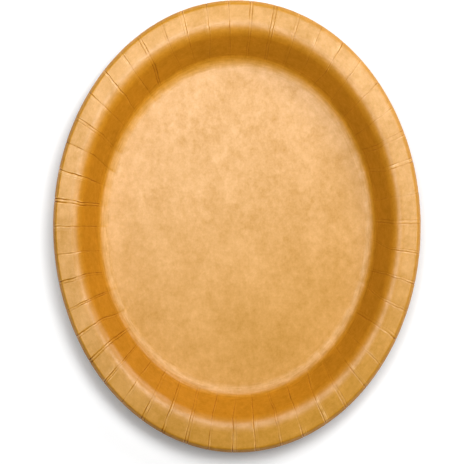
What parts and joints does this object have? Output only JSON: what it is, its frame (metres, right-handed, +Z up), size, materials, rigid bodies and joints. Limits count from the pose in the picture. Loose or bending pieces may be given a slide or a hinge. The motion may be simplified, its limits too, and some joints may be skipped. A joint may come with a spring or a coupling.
{
  "type": "paper plate",
  "caption": "Oval disposable plate pressed from brown kraft board, with a flat base, a pleated sloping wall and a flat rim turned down at its edge.",
  "frame": {"origin": "middle of the base's underside, on the surface that the plate stands on", "axes": "+Z up through the open side, +Y along the oval's long way, +X across it"},
  "size_m": [0.2598, 0.3198, 0.022],
  "materials": {
    "kraft_board": "satin"
  },
  "bodies": {
    "root": {"plate": "kraft_board"}
  },
  "joints": []
}
